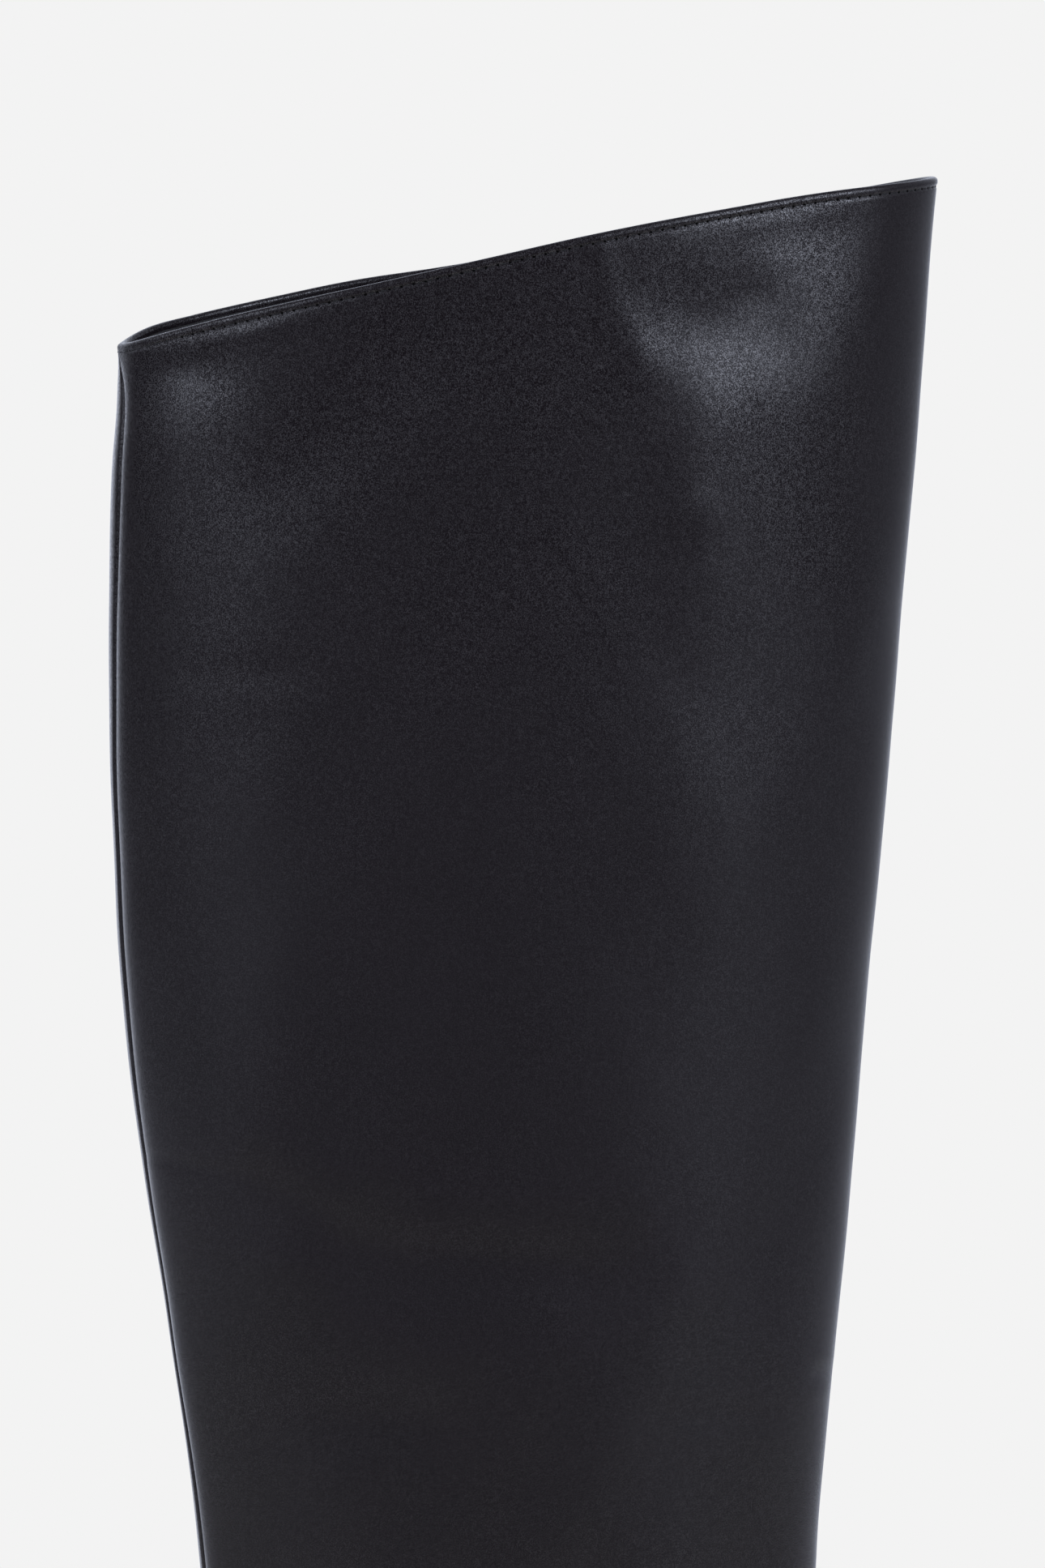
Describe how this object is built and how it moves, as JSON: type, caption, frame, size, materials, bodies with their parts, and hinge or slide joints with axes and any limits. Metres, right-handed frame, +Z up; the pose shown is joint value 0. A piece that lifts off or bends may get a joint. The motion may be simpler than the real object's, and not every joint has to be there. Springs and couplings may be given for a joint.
{
  "type": "tall boot",
  "caption": "Tall pull-on leather boot for the right foot with a wide straight shaft, slanted topline, closed back seam, plain rounded toe and low block heel.",
  "frame": {"origin": "on the floor, under the middle of the boot's bounding box", "axes": "+Z up from the floor, +X towards the toe, -Y towards the boot's outer side"},
  "size_m": [0.2806, 0.0862, 0.4798],
  "materials": {
    "black_leather": "smooth black calf leather with a fine grain and a soft sheen",
    "sock_leather": "matt dark leather sock",
    "sole_leather": "black dyed sole leather with a waxed edge",
    "heel_stack": "black stacked leather, waxed",
    "heel_rubber": "matt black rubber"
  },
  "bodies": {
    "root": {"upper": "black_leather", "insole": "sock_leather", "outsole": "sole_leather", "heel_block": "heel_stack", "heel_top_piece": "heel_rubber"}
  },
  "joints": []
}
